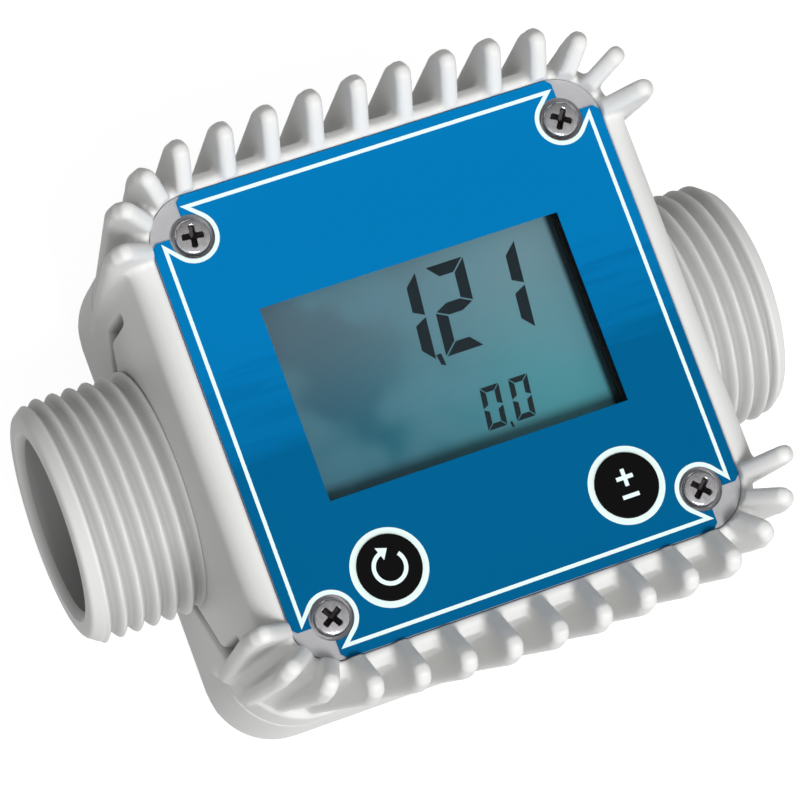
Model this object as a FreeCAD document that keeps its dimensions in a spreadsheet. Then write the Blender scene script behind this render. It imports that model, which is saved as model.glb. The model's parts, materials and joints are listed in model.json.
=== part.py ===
import FreeCAD, Part
import math
import os

import Sketcher

# Turbine flow meter with 1 inch male pipe ends, all lengths in millimetres.
# +X runs along the flow, +Z points out of the display, z = 0 is the flat back face.

SIZES = {
    # flow tube
    "axis_height": 28,
    "tube_length": 100,
    "thread_radius": 16.625,
    "thread_start": 37,
    "neck_radius": 15,
    "lead_in": 2.1,
    "bore_radius": 12,
    "chamber_radius": 11.4,
    "chamber_length": 28.4,
    "tube_fit": 0.02,
    # housing
    "core_width": 66,
    "core_depth": 66.6,
    "core_corner": 8,
    "core_floor": 18,
    "rim_height": 58,
    "core_rounding": 1.2,
    "skirt_width": 66,
    "skirt_depth": 70,
    "skirt_corner": 9.5,
    "skirt_height": 9,
    "skirt_slope": 1.6,
    "panel_width": 69,
    "panel_depth": 51.2,
    "panel_rounding": 3.2,
    "panel_corner": 1.8,
    "recess_side": 62.2,
    "recess_corner": 6.1,
    "recess_floor": 55.4,
    "cavity_side": 57.2,
    "cavity_floor": 33.5,
    "rear_cavity_side": 58,
    "rear_cavity_top": 30.5,
    "boss_side": 6.8,
    "boss_length": 10.6,
    "pilot_radius": 1.55,
    "pilot_depth": 10,
    "screw_spacing": 51,
    "ledge_width": 8,
    "ledge_length": 3,
    "ledge_height": 7,
    # bumper fins
    "fin_count": 9,
    "fin_row": 49,
    "fin_line": 26.2,
    "fin_crown": 0.4,
    "fin_fall": 1.2,
    "fan_centre": 25.4,
    "fan_reach": -0.5,
    "fan_growth": 0.8,
    "fan_start": 33,
    "fan_step": 29,
    "fin_thickness": 2.3,
    "fin_root": 4.3,
    "fin_shoulder": 8.1,
    "fin_shoulder_height": 62.9,
    "fin_tip": 9.2,
    "fin_tip_height": 64.2,
    "fin_crest": 10.5,
    "fin_crest_height": 64.4,
    "fin_nose": 11.7,
    "fin_nose_height": 62.8,
    "fin_outer": 12.1,
    "fin_outer_height": 59.3,
    "fin_tail": 8.4,
    "fin_tail_height": 19.5,
    "fin_chamfer": 0.6,
    "fin_overlap": 0.4,
    # rear cover
    "rear_width": 66,
    "rear_depth": 70,
    "rear_corner": 9.5,
    "rear_height": 17.6,
    "rear_rounding": 1.8,
    "rib_spacing": 22,
    "rib_thickness": 1.6,
    "rib_drop": 2,
    "well_clearance": 0.3,
    "rear_floor": 3,
    "hollow_share": 0.7,
    "rear_wall": 2.6,
    "rear_clearance": 0.4,
    "rear_head_depth": 2.4,
    # seals
    "seal_side": 60.8,
    "seal_corner": 3.4,
    "seal_width": 1.2,
    "seal_depth": 0.8,
    "seal_gap": 0.2,
    "gasket_width": 1.8,
    "gasket_corner": 2.4,
    "corner_ratio": 0.586,
    # cover plate, printed film and screws
    "plate_side": 62,
    "plate_corner": 6,
    "plate_thickness": 2.4,
    "film_thickness": 0.25,
    "film_inset": 0.05,
    "film_notch_start": 26,
    "film_lobe_cut": 0.7,
    "head_radius": 2.45,
    "head_height": 1.7,
    "head_pocket_radius": 2.95,
    "head_pocket_depth": 1,
    "shank_radius": 1.5,
    "shank_hole_radius": 1.8,
    "screw_length": 10,
    "rear_screw_length": 24,
    # display
    "window_width": 41.2,
    "window_depth": 25.9,
    "window_y": 1.2,
    "glass_width": 46,
    "glass_depth": 31,
    "glass_thickness": 2.8,
    "glass_top": 54.4,
    "frame_wall": 1.2,
    "frame_top": 55.2,
    "glass_gap": 0.2,
    "mouth_gap": 0.4,
    "strip_inset": 1.4,
    "strip_length": 42,
    "strip_width": 1.6,
    # circuit board
    "board_side": 54,
    "board_thickness": 1.6,
    "board_bottom": 47,
    "board_gap": 0.6,
    "chip_side": 9,
    "chip_height": 1.4,
    "chip_x": -14,
    "chip_y": 3,
    "reed_radius": 1.4,
    "reed_length": 13,
    "lead_side": 0.6,
    "lead_inset": 1.2,
    "lead_length": 2,
    # keys
    "key_x": 16.4,
    "key_y": -22,
    "key_radius": 4.2,
    "key_top": 58.4,
    "key_hole_radius": 4.45,
    "hole_depth": 6,
    "key_flange_radius": 5.1,
    "key_flange_top": 55.1,
    "key_flange_bottom": 54.3,
    "switch_side": 6,
    "switch_height": 3.4,
    "plunger_radius": 1.7,
    "plunger_top": 53.8,
    # batteries
    "cell_radius": 5.25,
    "cell_length": 44.5,
    "cell_y": 23,
    "cell_height": 39.5,
    "cell_gap": 0.1,
    "nub_radius": 1.9,
    "nub_length": 0.8,
    "tray_length": 51.2,
    "tray_width": 11.1,
    "tray_height": 7.5,
    "tray_end": 1.6,
    "contact_side": 7.8,
    "contact_thickness": 0.4,
    "contact_lift": 0.4,
    "coil_radius": 3,
    # flow straighteners
    "ring_radius": 11.95,
    "ring_wall": 1.3,
    "ring_length": 11,
    "hub_radius": 4.2,
    "hub_inner_end": 9.5,
    "hub_outer_end": 29,
    "nose_length": 2.6,
    "vane_thickness": 1.2,
    "retainer_start": 25.2,
    "retainer_inner": 11,
    "retainer_thickness": 1.1,
    "retainer_gap": 9,
    # turbine
    "bush_radius": 2.2,
    "bush_bore": 1.03,
    "bush_start": 8.7,
    "bush_end": 13.2,
    "shaft_radius": 1,
    "shaft_length": 25.2,
    "shaft_fit": 0.01,
    "rotor_hub_radius": 4.4,
    "rotor_hub_length": 16.4,
    "blade_radius": 11,
    "blade_length": 13,
    "blade_thickness": 1.1,
    "blade_root": 0.8,
    "blade_twist": 62,
    "blade_count": 4,
    "magnet_radius": 1.5,
    "magnet_length": 2,
    "magnet_start": 2.3,
    "magnet_depth": 3,
    "magnet_fit": 0.02,
}

doc = FreeCAD.newDocument("flow_meter")
sheet = doc.addObject("Spreadsheet::Sheet", "Sizes")
for row, (alias, number) in enumerate(SIZES.items(), start=1):
    sheet.set(f"A{row}", alias)
    sheet.set(f"B{row}", str(number))
    sheet.setAlias(f"B{row}", alias)
doc.recompute()

NODES = []


def size(text):
    """The value of an expression written with the sheet's aliases."""
    result = sheet.evalExpression(linked(text))
    return float(getattr(result, "Value", result))


def linked(text):
    """Turns plain aliases in an expression into references to the sheet."""
    words = []
    word = ""
    for letter in text + " ":
        if letter.isalnum() or letter in "_.":
            word += letter
            continue
        words.append("Sizes." + word if word in SIZES else word)
        words.append(letter)
        word = ""
    return "".join(words).strip()


def bind(item, **expressions):
    """Binds properties of a document object to expressions of the sheet."""
    for name, text in expressions.items():
        item.setExpression(name.replace("__", "."), linked(text))
    return item


def place(item, x="0", y="0", z="0"):
    """Puts an object at a point given by three expressions."""
    return bind(item, Placement__Base__x=x, Placement__Base__y=y, Placement__Base__z=z)


def node(item, label):
    """Registers a finished sub-part under the name of its file."""
    item.Label = label
    NODES.append(item)
    return item


def fuse(name, shapes):
    """One solid made of several shapes that touch."""
    result = doc.addObject("Part::MultiFuse", name)
    result.Shapes = shapes
    result.Refine = True
    return result


def cut(name, base, tool):
    result = doc.addObject("Part::Cut", name)
    result.Base = base
    result.Tool = tool
    result.Refine = True
    return result


def box(name, length, width, height, x="0", y="0", z="0"):
    """A box centred on x and y that stands on z."""
    item = doc.addObject("Part::Box", name)
    bind(item, Length=length, Width=width, Height=height)
    return place(item, f"{x} - ({length}) / 2", f"{y} - ({width}) / 2", z)


def upright_cylinder(name, radius, height, x="0", y="0", z="0"):
    item = doc.addObject("Part::Cylinder", name)
    bind(item, Radius=radius, Height=height)
    return place(item, x, y, z)


def along_flow(item):
    """Lays an upright solid down so that it runs towards +X."""
    item.Placement.Rotation = FreeCAD.Rotation(FreeCAD.Vector(0, 1, 0), 90)
    return item


def flow_cylinder(name, radius, length, x="0", y="0", z="0"):
    """A cylinder that lies along the flow and starts at x."""
    return along_flow(upright_cylinder(name, radius, length, x, y, z))


def peg(name, radius, height, x="0", y="0", z="0", sides="24"):
    """A many-sided prism for small round parts and their holes."""
    item = doc.addObject("Part::Prism", name)
    bind(item, Polygon=sides, Circumradius=radius, Height=height)
    return place(item, x, y, z)


def copies(name, source, placements):
    """One finished shape repeated at each placement, as separate solids."""
    doc.recompute()
    shapes = []
    for placement in placements:
        shape = source.Shape.copy()
        shape.Placement = placement.multiply(shape.Placement)
        shapes.append(shape)
    result = doc.addObject("Part::Feature", name)
    result.Shape = Part.makeCompound(shapes)
    return result


def moved(x, y, z=0.0, angle=0.0):
    """A placement at a point, turned about the vertical."""
    turn = FreeCAD.Rotation(FreeCAD.Vector(0, 0, 1), angle)
    return FreeCAD.Placement(FreeCAD.Vector(x, y, z), turn)


def corner_places(spacing, z=0.0):
    half = size(spacing) / 2
    return [moved(sx * half, sy * half, z) for sx in (-1, 1) for sy in (-1, 1)]


# ---------------------------------------------------------------- sketches

def new_body(name):
    return doc.addObject("PartDesign::Body", name)


def new_sketch(body, name, role, lift="0", shift="0"):
    """A sketch on one of the body's own origin planes."""
    plane = [item for item in body.Origin.OriginFeatures if item.Role == role][0]
    sketch = body.newObject("Sketcher::SketchObject", name)
    sketch.AttachmentSupport = (plane, [""])
    sketch.MapMode = "FlatFace"
    bind(sketch, AttachmentOffset__Base__z=lift, AttachmentOffset__Base__y=shift)
    return sketch


def fix_point(sketch, item, point, x, y):
    """Ties a point to coordinates given as expressions."""
    for kind, text in (("DistanceX", x), ("DistanceY", y)):
        value = size(text)
        if abs(value) < 1e-9:
            axis = -2 if kind == "DistanceX" else -1
            sketch.addConstraint(Sketcher.Constraint("PointOnObject", item, point, axis))
            continue
        if value > 0:
            rule = Sketcher.Constraint(kind, -1, 1, item, point, value)
        else:
            rule = Sketcher.Constraint(kind, item, point, -1, 1, -value)
        number = sketch.addConstraint(rule)
        bound = text if value > 0 else f"-({text})"
        sketch.setExpression(f"Constraints[{number}]", linked(bound))


def polygon(sketch, corners):
    """A closed outline whose corners are pairs of expressions."""
    points = [FreeCAD.Vector(size(x), size(y), 0) for x, y in corners]
    first = sketch.GeometryCount
    count = len(corners)
    for index in range(count):
        line = Part.LineSegment(points[index], points[(index + 1) % count])
        sketch.addGeometry(line, False)
    for index in range(count):
        joint = (first + index, 2, first + (index + 1) % count, 1)
        sketch.addConstraint(Sketcher.Constraint("Coincident", *joint))
    for index, (x, y) in enumerate(corners):
        fix_point(sketch, first + index, 1, x, y)


def cornered_rectangle(sketch, width, depth, corner):
    """A rectangle centred on the origin with its corners cut off at 45 degrees."""
    x, y = f"({width}) / 2", f"({depth}) / 2"
    inner_x, inner_y = f"{x} - ({corner})", f"{y} - ({corner})"
    corners = [
        (inner_x, f"-({y})"), (x, f"-({inner_y})"), (x, inner_y), (inner_x, y),
        (f"-({inner_x})", y), (f"-({x})", inner_y), (f"-({x})", f"-({inner_y})"),
        (f"-({inner_x})", f"-({y})"),
    ]
    polygon(sketch, corners)


def rounded_rectangle(sketch, width, depth, corner, y="0"):
    """A rounded rectangle centred on x = 0, with tangent corner arcs."""
    half_x = size(width) / 2
    half_y = size(depth) / 2
    middle = size(y)
    radius = size(corner)
    first = sketch.GeometryCount
    inner_x = half_x - radius
    inner_y = half_y - radius
    sides = [
        ((-inner_x, -half_y), (inner_x, -half_y)),
        ((half_x, -inner_y), (half_x, inner_y)),
        ((inner_x, half_y), (-inner_x, half_y)),
        ((-half_x, inner_y), (-half_x, -inner_y)),
    ]
    centres = [(inner_x, -inner_y), (inner_x, inner_y), (-inner_x, inner_y), (-inner_x, -inner_y)]
    for start, end in sides:
        ends = [FreeCAD.Vector(px, py + middle, 0) for px, py in (start, end)]
        sketch.addGeometry(Part.LineSegment(*ends), False)
    for index, (px, py) in enumerate(centres):
        ring = Part.Circle(FreeCAD.Vector(px, py + middle, 0), FreeCAD.Vector(0, 0, 1), radius)
        start = math.radians(-90 + 90 * index)
        sketch.addGeometry(Part.ArcOfCircle(ring, start, start + math.pi / 2), False)
    for index in range(4):
        side = first + index
        arc = first + 4 + index
        sketch.addConstraint(Sketcher.Constraint("Tangent", side, 2, arc, 1))
        sketch.addConstraint(Sketcher.Constraint("Tangent", arc, 2, first + (index + 1) % 4, 1))
        flat = "Horizontal" if index % 2 == 0 else "Vertical"
        sketch.addConstraint(Sketcher.Constraint(flat, side))
        if index:
            sketch.addConstraint(Sketcher.Constraint("Equal", first + 4, arc))
    number = sketch.addConstraint(Sketcher.Constraint("Radius", first + 4, radius))
    sketch.setExpression(f"Constraints[{number}]", linked(corner))
    limits = [
        ("DistanceX", first + 1, f"({width}) / 2"),
        ("DistanceX", first + 3, f"-({width}) / 2"),
        ("DistanceY", first + 2, f"({depth}) / 2 + ({y})"),
        ("DistanceY", first, f"-({depth}) / 2 + ({y})"),
    ]
    for kind, item, text in limits:
        value = size(text)
        ends = (-1, 1, item, 1) if value > 0 else (item, 1, -1, 1)
        number = sketch.addConstraint(Sketcher.Constraint(kind, *ends, abs(value)))
        bound = text if value > 0 else f"-({text})"
        sketch.setExpression(f"Constraints[{number}]", linked(bound))


def pad(body, sketch, name, length, both_ways=False):
    feature = body.newObject("PartDesign::Pad", name)
    feature.Profile = sketch
    if both_ways:
        feature.Midplane = True
    return bind(feature, Length=length)


def pocket(body, sketch, name, length):
    """A pocket that runs from the sketch towards +Z."""
    feature = body.newObject("PartDesign::Pocket", name)
    feature.Profile = sketch
    feature.Reversed = True
    return bind(feature, Length=length)


def revolve(body, sketch, name, axis):
    feature = body.newObject("PartDesign::Revolution", name)
    feature.Profile = sketch
    feature.ReferenceAxis = (sketch, [axis])
    feature.Angle = 360
    return feature


def dress(kind, body, base, name, chosen):
    """A feature on the edges of another feature that a test picks out."""
    doc.recompute()
    names = [f"Edge{i + 1}" for i, edge in enumerate(base.Shape.Edges) if chosen(edge)]
    feature = body.newObject(kind, name)
    feature.Base = (base, names)
    return feature


def fillet(body, base, name, radius, chosen):
    feature = dress("PartDesign::Fillet", body, base, name, chosen)
    return bind(feature, Radius=radius)


def chamfer(body, base, name, width, chosen):
    feature = dress("PartDesign::Chamfer", body, base, name, chosen)
    return bind(feature, Size=width)


def at_height(height):
    """A test for edges that lie flat at one height."""
    def test(edge):
        limits = edge.BoundBox
        return abs(limits.ZMin - height) < 1e-4 and abs(limits.ZMax - height) < 1e-4
    return test


def prism(name, width, depth, corner, bottom, height, y="0"):
    """An upright block with a rounded rectangle for its outline."""
    body = new_body(name)
    sketch = new_sketch(body, name + "_outline", "XY_Plane", bottom)
    rounded_rectangle(sketch, width, depth, corner, y)
    pad(body, sketch, name + "_pad", height)
    return body


def turned(name, role, axis, corners, shift="0"):
    """A body turned from a closed profile about one axis of its sketch."""
    body = new_body(name)
    sketch = new_sketch(body, name + "_profile", role, "0", shift)
    polygon(sketch, corners)
    revolve(body, sketch, name + "_turn", axis)
    return body


# ---------------------------------------------------------------- outer forms

def housing_core():
    body = new_body("core")
    outline = new_sketch(body, "core_outline", "XY_Plane", "core_floor")
    rounded_rectangle(outline, "core_width", "core_depth", "core_corner")
    block = pad(body, outline, "core_pad", "rim_height - core_floor")
    rim = at_height(size("rim_height"))
    chamfer(body, block, "core_rim", "core_rounding", rim)
    return body


def skirt():
    """The fuller lower part of the housing, into which the tails of the fins run out."""
    body = new_body("skirt")
    outline = new_sketch(body, "skirt_outline", "XY_Plane", "core_floor")
    rounded_rectangle(outline, "skirt_width", "skirt_depth", "skirt_corner")
    block = pad(body, outline, "skirt_pad", "skirt_height")
    top = at_height(size("core_floor + skirt_height"))
    chamfer(body, block, "skirt_top", "skirt_slope", top)
    return body


def side_panels():
    """The flat raised panels that carry the two pipe ends."""
    body = new_body("panels")
    outline = new_sketch(body, "panel_outline", "XY_Plane", "core_floor")
    rounded_rectangle(outline, "panel_width", "panel_depth", "panel_corner")
    block = pad(body, outline, "panel_pad", "rim_height - core_floor")
    top = at_height(size("rim_height"))

    def shoulder(edge):
        return top(edge) and edge.BoundBox.XLength < 1e-4

    fillet(body, block, "panel_shoulder", "panel_rounding", shoulder)
    return body


def bumper_fin():
    """One fin, drawn about the centre of its corner fan and pointing to +Y."""
    body = new_body("fin")
    sketch = new_sketch(body, "fin_profile", "YZ_Plane")
    corners = [
        ("fin_root", "fin_tail_height"),
        ("fin_tail", "fin_tail_height"),
        ("fin_outer", "fin_outer_height"),
        ("fin_nose", "fin_nose_height"),
        ("fin_crest", "fin_crest_height"),
        ("fin_tip", "fin_tip_height"),
        ("fin_shoulder", "fin_shoulder_height"),
        ("fin_root", "rim_height - fin_overlap"),
    ]
    polygon(sketch, corners)
    web = pad(body, sketch, "fin_web", "fin_thickness", True)
    root = size("fin_root")
    tail = size("fin_tail_height")

    def along_rim(edge):
        limits = edge.BoundBox
        outside = limits.YMax > root + 1e-3 and limits.ZMax > tail + 1e-3
        return outside and limits.XLength < 1e-4

    chamfer(body, web, "fin_edge", "fin_chamfer", along_rim)
    return body


def fin_places():
    """Two bowed rows, and a fan round each corner that carries on from the rows."""
    half_row = size("fin_row / 2")
    line = size("fin_line")
    count = int(size("fin_count"))
    places = []
    for index in range(count):
        across = 2 * index / (count - 1) - 1
        out = line + size("fin_crown") - size("fin_fall") * across ** 2
        places.append(moved(across * half_row, out))
        places.append(moved(across * half_row, -out, 0, 180))
    centre = size("fan_centre")
    for index in range(3):
        reach = size("fan_reach") + index * size("fan_growth")
        turn = size("fan_start") + index * size("fan_step")
        x = half_row + reach * math.sin(math.radians(turn))
        y = centre + reach * math.cos(math.radians(turn))
        places.append(moved(x, y, 0, -turn))
        places.append(moved(-x, y, 0, turn))
        places.append(moved(x, -y, 0, 180 + turn))
        places.append(moved(-x, -y, 0, 180 - turn))
    return places


# ---------------------------------------------------------------- flow tube

def tube_outside():
    """The tube with plain pipe ends at the crest radius of their threads."""
    half = "tube_length / 2"
    corners = [
        (f"-{half}", "0"),
        (f"-{half}", "thread_radius - lead_in"),
        (f"-{half} + lead_in", "thread_radius"),
        ("-thread_start", "thread_radius"),
        ("-thread_start", "neck_radius"),
        ("thread_start", "neck_radius"),
        ("thread_start", "thread_radius"),
        (f"{half} - lead_in", "thread_radius"),
        (half, "thread_radius - lead_in"),
        (half, "0"),
    ]
    return turned("tube", "XZ_Plane", "H_Axis", corners, "axis_height")


def tube_bore():
    """The stepped bore: a wide mouth at each end and the narrower rotor chamber."""
    half = "tube_length / 2"
    outline = [
        (f"{half} + 1", "bore_radius"),
        ("chamber_length / 2", "bore_radius"),
        ("chamber_length / 2", "chamber_radius"),
    ]
    mirrored = [(f"-({x})", y) for x, y in reversed(outline)]
    ends = [(f"-({half} + 1)", "0"), (f"{half} + 1", "0")]
    return turned("bore", "XZ_Plane", "H_Axis", outline + mirrored + ends, "axis_height")


def flow_tube():
    node(cut("flow_tube", tube_outside(), tube_bore()), "flow_tube")


# ---------------------------------------------------------------- main body

def seal_ring(name, side, corner, width, bottom, height):
    """A frame of constant width that follows a square with cut corners."""
    body = new_body(name)
    sketch = new_sketch(body, name + "_outline", "XY_Plane", bottom)
    cornered_rectangle(sketch, side, side, corner)
    inner = f"({side}) - 2 * ({width})"
    cornered_rectangle(sketch, inner, inner, f"({corner}) - corner_ratio * ({width})")
    pad(body, sketch, name + "_pad", height)
    return body


def main_body():
    fins = copies("fins", bumper_fin(), fin_places())
    blocks = [housing_core(), skirt(), side_panels(), fins]
    outer = fuse("outer", blocks)

    recess = prism("recess", "recess_side", "recess_side", "recess_corner", "recess_floor", "20")
    side = "cavity_side"
    depth = "recess_floor - cavity_floor + 1"
    cavity = box("cavity", side, side, depth, z="cavity_floor")
    side = "rear_cavity_side"
    depth = "rear_cavity_top - core_floor + 1"
    rear = box("rear_cavity", side, side, depth, z="core_floor - 1")
    hollow = fuse("hollow", [recess, cavity, rear])
    shell = cut("shell", outer, hollow)

    side = "boss_side"
    front_boss = box("front_boss", side, side, "boss_length", z="recess_floor - boss_length")
    front_bosses = copies("front_bosses", front_boss, corner_places("screw_spacing"))
    length = "rear_cavity_top - core_floor"
    rear_boss = box("rear_boss", side, side, length, z="core_floor")
    rear_bosses = copies("rear_bosses", rear_boss, corner_places("screw_spacing"))
    ledges = []
    for index, sign in enumerate(("-", "")):
        x = f"{sign}(cavity_side - ledge_length) / 2"
        z = "board_bottom - ledge_height"
        ledges.append(box(f"ledge_{index}", "ledge_length", "ledge_width", "ledge_height", x, "0", z))
    solid = fuse("solid", [shell, front_bosses, rear_bosses] + ledges)

    z = "recess_floor - pilot_depth"
    front_pilot = peg("front_pilot", "pilot_radius", "pilot_depth + 1", z=z, sides="12")
    front_pilots = copies("front_pilots", front_pilot, corner_places("screw_spacing"))
    rear_pilot = peg("rear_pilot", "pilot_radius", "pilot_depth + 1", z="core_floor - 1", sides="12")
    rear_pilots = copies("rear_pilots", rear_pilot, corner_places("screw_spacing"))
    side = "seal_side + seal_gap"
    width = "seal_width + seal_gap"
    floor = "recess_floor - seal_depth"
    groove = seal_ring("seal_groove", side, "seal_corner", width, floor, "seal_depth + 1")
    radius = "neck_radius + tube_fit"
    length = "panel_width + 10"
    seat = flow_cylinder("tube_seat", radius, length, "-panel_width / 2 - 5", "0", "axis_height")
    holes = fuse("holes", [seat, front_pilots, rear_pilots, groove])
    node(cut("main_body", solid, holes), "main_body")


# ---------------------------------------------------------------- rear cover

def rear_cover():
    """The shell behind the tube, with a saddle each side where the tube passes."""
    body = new_body("rear_shell")
    outline = new_sketch(body, "rear_outline", "XY_Plane")
    rounded_rectangle(outline, "rear_width", "rear_depth", "rear_corner")
    block = pad(body, outline, "rear_pad", "rear_height")
    rounded = chamfer(body, block, "rear_edge", "rear_rounding", at_height(0))
    doc.recompute()
    solid_volume = rounded.Shape.Volume
    hollow = new_sketch(body, "rear_hollow", "XY_Plane", "rear_floor")
    width = "rear_width - 2 * rear_wall"
    depth = "rear_depth - 2 * rear_wall"
    cornered_rectangle(hollow, width, depth, "corner_ratio * (rear_corner - rear_wall)")
    hollowed = pocket(body, hollow, "rear_pocket", "rear_height")
    doc.recompute()
    if hollowed.Shape.Volume > size("hollow_share") * solid_volume:
        raise ValueError("the rear cover is not hollow")

    boss = box("cover_boss", "boss_side", "boss_side", "rear_height - rear_floor / 2", z="rear_floor / 2")
    bosses = copies("cover_bosses", boss, corner_places("screw_spacing"))
    ribs = []
    for index, sign in enumerate(("-", "")):
        length = "rear_width - rear_wall"
        height = "axis_height - neck_radius - rib_drop - rear_floor + 1"
        offset = f"{sign}rib_spacing / 2"
        z = "rear_floor - 1"
        ribs.append(box(f"rib_{index}", length, "rib_thickness", height, "0", offset, z))
    solid = fuse("cover_solid", [body, bosses] + ribs)

    radius = "neck_radius + rear_clearance"
    x = "-rear_width / 2 - 1"
    saddle = flow_cylinder("saddle", radius, "rear_width + 2", x, "0", "axis_height")
    hole = peg("cover_hole", "shank_hole_radius", "rear_height + 2", z="-1", sides="12")
    hole_row = copies("cover_holes", hole, corner_places("screw_spacing"))
    head = peg("head_well", "head_radius + well_clearance", "rear_head_depth + 1", z="-1")
    heads = copies("head_wells", head, corner_places("screw_spacing"))
    cuts = fuse("cover_cuts", [saddle, hole_row, heads])
    node(cut("rear_cover", solid, cuts), "rear_cover")


def rear_gasket():
    """The flat gasket on the joint, open where the tube crosses it."""
    side = "rear_cavity_side + 2 * gasket_width"
    corner = "gasket_corner"
    height = "core_floor - rear_height"
    ring = seal_ring("gasket_ring", side, corner, "gasket_width", "rear_height", height)
    radius = "neck_radius + rear_clearance"
    length = "rear_width + 4"
    gap = flow_cylinder("gasket_gap", radius, length, "-rear_width / 2 - 2", "0", "axis_height")
    node(cut("rear_gasket", ring, gap), "rear_gasket")


def machine_screw(name, length):
    """A screw that hangs down from z = 0, the underside of its head."""
    shank = peg(f"{name}_shank", "shank_radius", f"({length}) + 0.5", z=f"-({length})", sides="12")
    head = peg(f"{name}_head", "head_radius", "head_height")
    return fuse(name, [shank, head])


def screws():
    front = machine_screw("front_screw", "screw_length")
    seat = size("recess_floor + plate_thickness - head_pocket_depth")
    node(copies("cover_screws", front, corner_places("screw_spacing", seat)), "cover_screws")
    rear = machine_screw("rear_screw", "rear_screw_length")
    places = []
    flip = FreeCAD.Rotation(FreeCAD.Vector(1, 0, 0), 180)
    for corner in corner_places("screw_spacing", size("rear_head_depth")):
        places.append(FreeCAD.Placement(corner.Base, flip))
    node(copies("rear_screws", rear, places), "rear_screws")


# ---------------------------------------------------------------- front

def front_seal():
    floor = "recess_floor - seal_depth"
    ring = seal_ring("front_seal", "seal_side", "seal_corner", "seal_width", floor, "seal_depth")
    node(ring, "front_seal")


def cover_plate():
    body = prism(
        "plate", "plate_side", "plate_side", "plate_corner", "recess_floor", "plate_thickness"
    )
    hole = peg("plate_hole", "shank_hole_radius", "hole_depth", z="recess_floor - 1", sides="12")
    holes = copies("plate_holes", hole, corner_places("screw_spacing"))
    z = "recess_floor + plate_thickness - head_pocket_depth"
    well = peg("plate_well", "head_pocket_radius", "hole_depth", z=z)
    wells = copies("plate_wells", well, corner_places("screw_spacing"))
    cuts = fuse("plate_cuts", [holes, wells] + key_holes("plate"))
    node(cut("cover_plate", body, cuts), "cover_plate")


def key_holes(name):
    """The two round holes that guide the keys."""
    holes = []
    for index, x in enumerate(("-key_x", "key_x")):
        z = "recess_floor - 1"
        label = f"{name}_key_hole_{index}"
        holes.append(peg(label, "key_hole_radius", "hole_depth", x, "key_y", z, "48"))
    return holes


def printed_film():
    """The thin printed film, with its window, key holes and notched corners."""
    bottom = "recess_floor + plate_thickness"
    body = new_body("film_sheet")
    outline = new_sketch(body, "film_outline", "XY_Plane", bottom)
    far, near = "plate_side / 2 - film_inset", "film_notch_start"
    corners = []
    for sign_x, sign_y in (("", "-"), ("", ""), ("-", ""), ("-", "-")):
        steps = [(near, far), (near, near), (far, near)]
        if sign_x == sign_y:
            steps.reverse()
        corners += [(f"{sign_x}({x})", f"{sign_y}({y})") for x, y in steps]
    polygon(outline, corners)
    blank = pad(body, outline, "film_pad", "film_thickness")
    limit = size(far) - 1e-3

    def lobe(edge):
        limits = edge.BoundBox
        reach = max(abs(limits.XMin), abs(limits.YMin))
        return limits.ZLength > 0.1 and reach > limit

    chamfer(body, blank, "film_lobes", "film_lobe_cut", lobe)
    z = "recess_floor"
    window = box("film_window", "window_width", "window_depth", "hole_depth", "0", "window_y", z)
    well = peg("film_well", "head_pocket_radius", "hole_depth", z=z)
    wells = copies("film_wells", well, corner_places("screw_spacing"))
    cuts = fuse("film_cuts", [window, wells] + key_holes("film"))
    node(cut("printed_film", body, cuts), "printed_film")


def display():
    """Liquid crystal glass in its frame, with the rubber contact strips below it."""
    bottom = "glass_top - glass_thickness"
    width, depth = "glass_width", "glass_depth"
    glass = box("lcd_glass", width, depth, "glass_thickness", "0", "window_y", bottom)
    node(glass, "lcd_glass")

    board_top = "board_bottom + board_thickness"
    width = "glass_width + glass_gap + 2 * frame_wall"
    depth = "glass_depth + glass_gap + 2 * frame_wall"
    height = f"frame_top - ({board_top})"
    outer = box("frame_outer", width, depth, height, "0", "window_y", board_top)
    height = f"glass_top + glass_gap / 2 - ({board_top}) + 1"
    width = "glass_width + glass_gap"
    depth = "glass_depth + glass_gap"
    inner = box("frame_inner", width, depth, height, "0", "window_y", f"{board_top} - 1")
    width = "window_width + mouth_gap"
    depth = "window_depth + mouth_gap"
    mouth = box("frame_mouth", width, depth, "hole_depth", "0", "window_y", "glass_top - 1")
    hollow = fuse("frame_hollow", [inner, mouth])
    node(cut("lcd_frame", outer, hollow), "lcd_frame")

    strips = []
    for index, sign in enumerate(("-", "+")):
        y = f"window_y {sign} (glass_depth / 2 - strip_inset)"
        height = f"{bottom} - ({board_top})"
        strip = box(f"strip_{index}", "strip_length", "strip_width", height, "0", y, board_top)
        strips.append(strip)
    pair = doc.addObject("Part::Compound", "contact_strips")
    pair.Links = strips
    node(pair, "contact_strips")


def circuit_board():
    side = "board_side"
    blank = box("board_blank", side, side, "board_thickness", z="board_bottom")
    side = "boss_side + 2 * board_gap"
    notch = box("board_notch", side, side, "board_thickness + 2", z="board_bottom - 1")
    notches = copies("board_notches", notch, corner_places("screw_spacing"))
    node(cut("circuit_board", blank, notches), "circuit_board")

    z = "board_bottom - chip_height"
    chip = box("controller_chip", "chip_side", "chip_side", "chip_height", "chip_x", "chip_y", z)
    node(chip, "controller_chip")


def pickup_sensor():
    """A moulded reed switch across the top of the tube, on two legs from the board."""
    z = "board_bottom - lead_length"
    x = "-reed_length / 2"
    parts = [along_flow(peg("reed_case", "reed_radius", "reed_length", x, "0", z))]
    for index, sign in enumerate(("-", "")):
        x = f"{sign}(reed_length / 2 - lead_inset)"
        parts.append(box(f"reed_leg_{index}", "lead_side", "lead_side", "lead_length", x, "0", z))
    node(fuse("reed_sensor", parts), "reed_sensor")


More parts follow.
